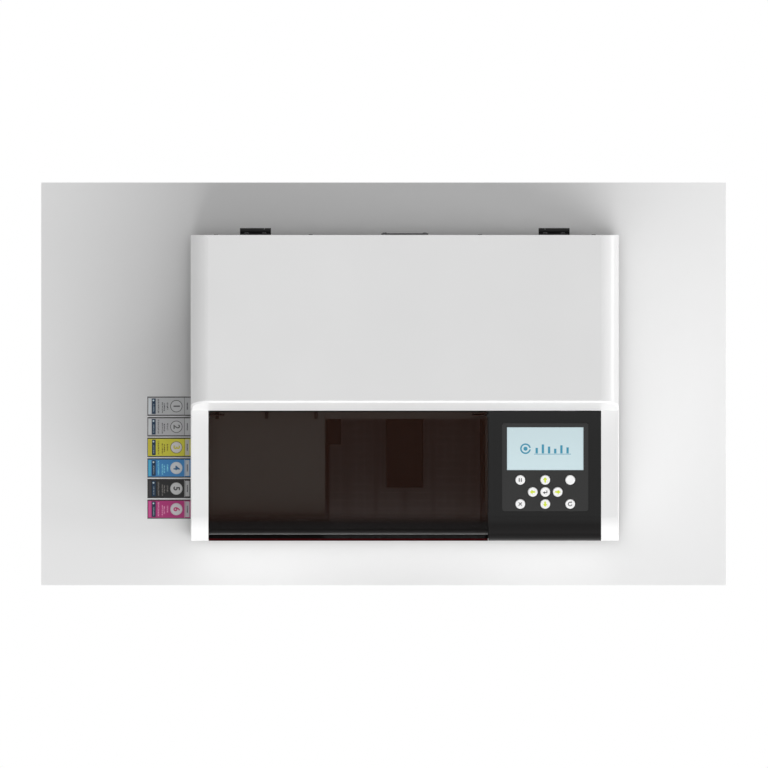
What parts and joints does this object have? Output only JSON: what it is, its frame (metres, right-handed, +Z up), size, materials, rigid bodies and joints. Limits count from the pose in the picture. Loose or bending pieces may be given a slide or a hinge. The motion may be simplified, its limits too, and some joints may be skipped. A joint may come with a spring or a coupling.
{
  "type": "uv printer",
  "caption": "Desktop flatbed UV printer: white hinged hood, tinted deck window, black keypad with screen, side-loading ink cartridges, moving carriage and a bed that slides and lifts.",
  "frame": {"origin": "middle of the whole footprint, cartridges and rear hinges included, on the surface it stands on", "axes": "+X to the right as seen from the front, +Y to the back, +Z up"},
  "size_m": [0.5858, 0.3888, 0.29],
  "materials": {
    "white_shell": "gloss white moulded plastic",
    "panel_black": "gloss black moulded plastic",
    "keypad_black": "satin charcoal plate",
    "tinted_window": "dark red-brown tinted acrylic",
    "screen": "pale liquid crystal screen",
    "dark_sheet": "charcoal powder coat",
    "grey_sheet": "light grey powder coat",
    "white_sheet": "white powder coat",
    "machined_aluminium": "clear anodised, fine milled",
    "ground_steel": "ground and oiled",
    "dark_anodised": "dark anodised, fine milled",
    "motor_black": "black lacquer with bare end plates",
    "foot_rubber": "matt black",
    "belt_rubber": "fine toothed",
    "button_white": "satin white",
    "black_plastic": "fine moulded texture",
    "carriage_brown": "satin brown, nearly black",
    "board_green": "green solder mask",
    "head_steel": "satin",
    "ink_white": "black sides, light grey label",
    "ink_yellow": "black sides, yellow label",
    "ink_cyan": "black sides, blue label",
    "ink_black": "black sides, black label",
    "ink_magenta": "black sides, magenta label"
  },
  "bodies": {
    "chassis": {"base_pan": "dark_sheet", "feet": "foot_rubber", "left_side_panel": "white_shell", "right_side_panel": "white_shell", "front_panel": "white_shell", "rear_panel": "white_sheet", "inner_deck": "dark_sheet", "control_panel": "panel_black", "keypad_plate": "keypad_black", "lcd_screen": "screen", "keypad_board": "board_green", "power_supply": "grey_sheet", "main_board": "board_green", "power_inlet": "black_plastic", "fan_frame": "black_plastic", "fan_grille": "grey_sheet", "cartridge_bay": "black_plastic", "portal_frame": "dark_sheet", "x_rail": "ground_steel", "x_motor": "motor_black", "idler_bracket": "dark_sheet", "x_belt": "belt_rubber", "lift_posts": "ground_steel", "lift_motor": "motor_black", "cap_station": "black_plastic", "hood_hinge_barrels": "dark_sheet", "window_hinge_pins": "dark_sheet"},
    "hood_lid": {"hood": "white_shell", "hood_hinge_knuckles": "dark_sheet"},
    "deck_window": {"window": "tinted_window"},
    "carriage": {"carriage_frame": "carriage_brown", "carriage_block": "ground_steel", "print_head": "head_steel", "uv_lamp": "machined_aluminium"},
    "drive_pulley": {"x_drive_pulley": "machined_aluminium"},
    "idler_pulley": {"x_idler_pulley": "machined_aluminium"},
    "lift": {"lift_platform": "machined_aluminium", "table_guide_blocks": "ground_steel", "table_motor": "motor_black"},
    "lift_spindle": {"lift_screw": "ground_steel"},
    "bed": {"print_bed": "dark_anodised", "table_rails": "ground_steel"},
    "table_spindle": {"table_screw": "ground_steel"},
    "fan": {"fan_rotor": "black_plastic"},
    "rocker": {"power_rocker": "black_plastic"},
    "button_upper_left": {"button_upper_left": "button_white"},
    "button_up": {"button_up": "button_white"},
    "button_upper_right": {"button_upper_right": "button_white"},
    "button_left": {"button_left": "button_white"},
    "button_enter": {"button_enter": "button_white"},
    "button_right": {"button_right": "button_white"},
    "button_lower_left": {"button_lower_left": "button_white"},
    "button_down": {"button_down": "button_white"},
    "button_lower_right": {"button_lower_right": "button_white"},
    "ink_cartridge_1": {"ink_cartridge_1": "ink_white"},
    "ink_cartridge_2": {"ink_cartridge_2": "ink_white"},
    "ink_cartridge_3": {"ink_cartridge_3": "ink_yellow"},
    "ink_cartridge_4": {"ink_cartridge_4": "ink_cyan"},
    "ink_cartridge_5": {"ink_cartridge_5": "ink_black"},
    "ink_cartridge_6": {"ink_cartridge_6": "ink_magenta"}
  },
  "joints": [
    {"name": "hood_hinge", "type": "hinge", "parent": "chassis", "child": "hood_lid", "pos_m": [0.0269, 0.19015, 0.256], "axis": [-1, 0, 0], "range_deg": [0, 95]},
    {"name": "window_hinge", "type": "hinge", "parent": "chassis", "child": "deck_window", "pos_m": [-0.0431, -0.03785, 0.25157], "axis": [-1, 0, 0], "range_deg": [0, 98]},
    {"name": "carriage_slide", "type": "slide", "parent": "chassis", "child": "carriage", "axis": [1, 0, 0], "range_m": [-0.07, 0.15]},
    {"name": "drive_pulley_spin", "type": "hinge", "parent": "chassis", "child": "drive_pulley", "pos_m": [0.2319, -0.03235, 0.195], "axis": [0, 0, 1], "range_deg": [-627.67, 1343.87]},
    {"name": "idler_pulley_spin", "type": "hinge", "parent": "chassis", "child": "idler_pulley", "pos_m": [-0.0811, -0.03235, 0.195], "axis": [0, 0, 1], "range_deg": [-627.67, 1343.87]},
    {"name": "lift_slide", "type": "slide", "parent": "chassis", "child": "lift", "axis": [0, 0, 1], "range_m": [0, 0.045]},
    {"name": "lift_spindle_spin", "type": "hinge", "parent": "chassis", "child": "lift_spindle", "pos_m": [0.1509, 0.02565, 0.09], "axis": [0, 0, 1], "range_deg": [-1, 2026]},
    {"name": "bed_slide", "type": "slide", "parent": "lift", "child": "bed", "axis": [0, -1, 0], "range_m": [-0.03, 0.17]},
    {"name": "table_spindle_spin", "type": "hinge", "parent": "lift", "child": "table_spindle", "pos_m": [0.0269, -0.03435, 0.066], "axis": [0, -1, 0], "range_deg": [-1081, 6121]},
    {"name": "fan_spin", "type": "hinge", "parent": "chassis", "child": "fan", "pos_m": [0.0269, 0.17565, 0.182], "axis": [0, 1, 0], "continuous": true},
    {"name": "power_rocker_tilt", "type": "hinge", "parent": "chassis", "child": "rocker", "pos_m": [-0.1586, 0.18565, 0.091], "axis": [-1, 0, 0], "range_deg": [0, 16]},
    {"name": "button_upper_left_press", "type": "slide", "parent": "chassis", "child": "button_upper_left", "axis": [0, 0.1392, -0.9903], "range_m": [0, 0.0008], "stiffness_N_per_m": 1200, "springref_m": -0.0005},
    {"name": "button_up_press", "type": "slide", "parent": "chassis", "child": "button_up", "axis": [0, 0.1392, -0.9903], "range_m": [0, 0.0008], "stiffness_N_per_m": 1200, "springref_m": -0.0005},
    {"name": "button_upper_right_press", "type": "slide", "parent": "chassis", "child": "button_upper_right", "axis": [0, 0.1392, -0.9903], "range_m": [0, 0.0008], "stiffness_N_per_m": 1200, "springref_m": -0.0005},
    {"name": "button_left_press", "type": "slide", "parent": "chassis", "child": "button_left", "axis": [0, 0.1392, -0.9903], "range_m": [0, 0.0008], "stiffness_N_per_m": 1200, "springref_m": -0.0005},
    {"name": "button_enter_press", "type": "slide", "parent": "chassis", "child": "button_enter", "axis": [0, 0.1392, -0.9903], "range_m": [0, 0.0008], "stiffness_N_per_m": 1200, "springref_m": -0.0005},
    {"name": "button_right_press", "type": "slide", "parent": "chassis", "child": "button_right", "axis": [0, 0.1392, -0.9903], "range_m": [0, 0.0008], "stiffness_N_per_m": 1200, "springref_m": -0.0005},
    {"name": "button_lower_left_press", "type": "slide", "parent": "chassis", "child": "button_lower_left", "axis": [0, 0.1392, -0.9903], "range_m": [0, 0.0008], "stiffness_N_per_m": 1200, "springref_m": -0.0005},
    {"name": "button_down_press", "type": "slide", "parent": "chassis", "child": "button_down", "axis": [0, 0.1392, -0.9903], "range_m": [0, 0.0008], "stiffness_N_per_m": 1200, "springref_m": -0.0005},
    {"name": "button_lower_right_press", "type": "slide", "parent": "chassis", "child": "button_lower_right", "axis": [0, 0.1392, -0.9903], "range_m": [0, 0.0008], "stiffness_N_per_m": 1200, "springref_m": -0.0005},
    {"name": "ink_cartridge_1_slide", "type": "slide", "parent": "chassis", "child": "ink_cartridge_1", "axis": [-1, 0, 0], "range_m": [0, 0.14]},
    {"name": "ink_cartridge_2_slide", "type": "slide", "parent": "chassis", "child": "ink_cartridge_2", "axis": [-1, 0, 0], "range_m": [0, 0.14]},
    {"name": "ink_cartridge_3_slide", "type": "slide", "parent": "chassis", "child": "ink_cartridge_3", "axis": [-1, 0, 0], "range_m": [0, 0.14]},
    {"name": "ink_cartridge_4_slide", "type": "slide", "parent": "chassis", "child": "ink_cartridge_4", "axis": [-1, 0, 0], "range_m": [0, 0.14]},
    {"name": "ink_cartridge_5_slide", "type": "slide", "parent": "chassis", "child": "ink_cartridge_5", "axis": [-1, 0, 0], "range_m": [0, 0.14]},
    {"name": "ink_cartridge_6_slide", "type": "slide", "parent": "chassis", "child": "ink_cartridge_6", "axis": [-1, 0, 0], "range_m": [0, 0.14]}
  ],
  "couplings": [
    {"joint": "drive_pulley_spin", "follows": "carriage_slide", "rad_per_m": 156.25},
    {"joint": "idler_pulley_spin", "follows": "carriage_slide", "rad_per_m": 156.25},
    {"joint": "lift_spindle_spin", "follows": "lift_slide", "rad_per_m": 785.4},
    {"joint": "table_spindle_spin", "follows": "bed_slide", "rad_per_m": 628.32}
  ]
}
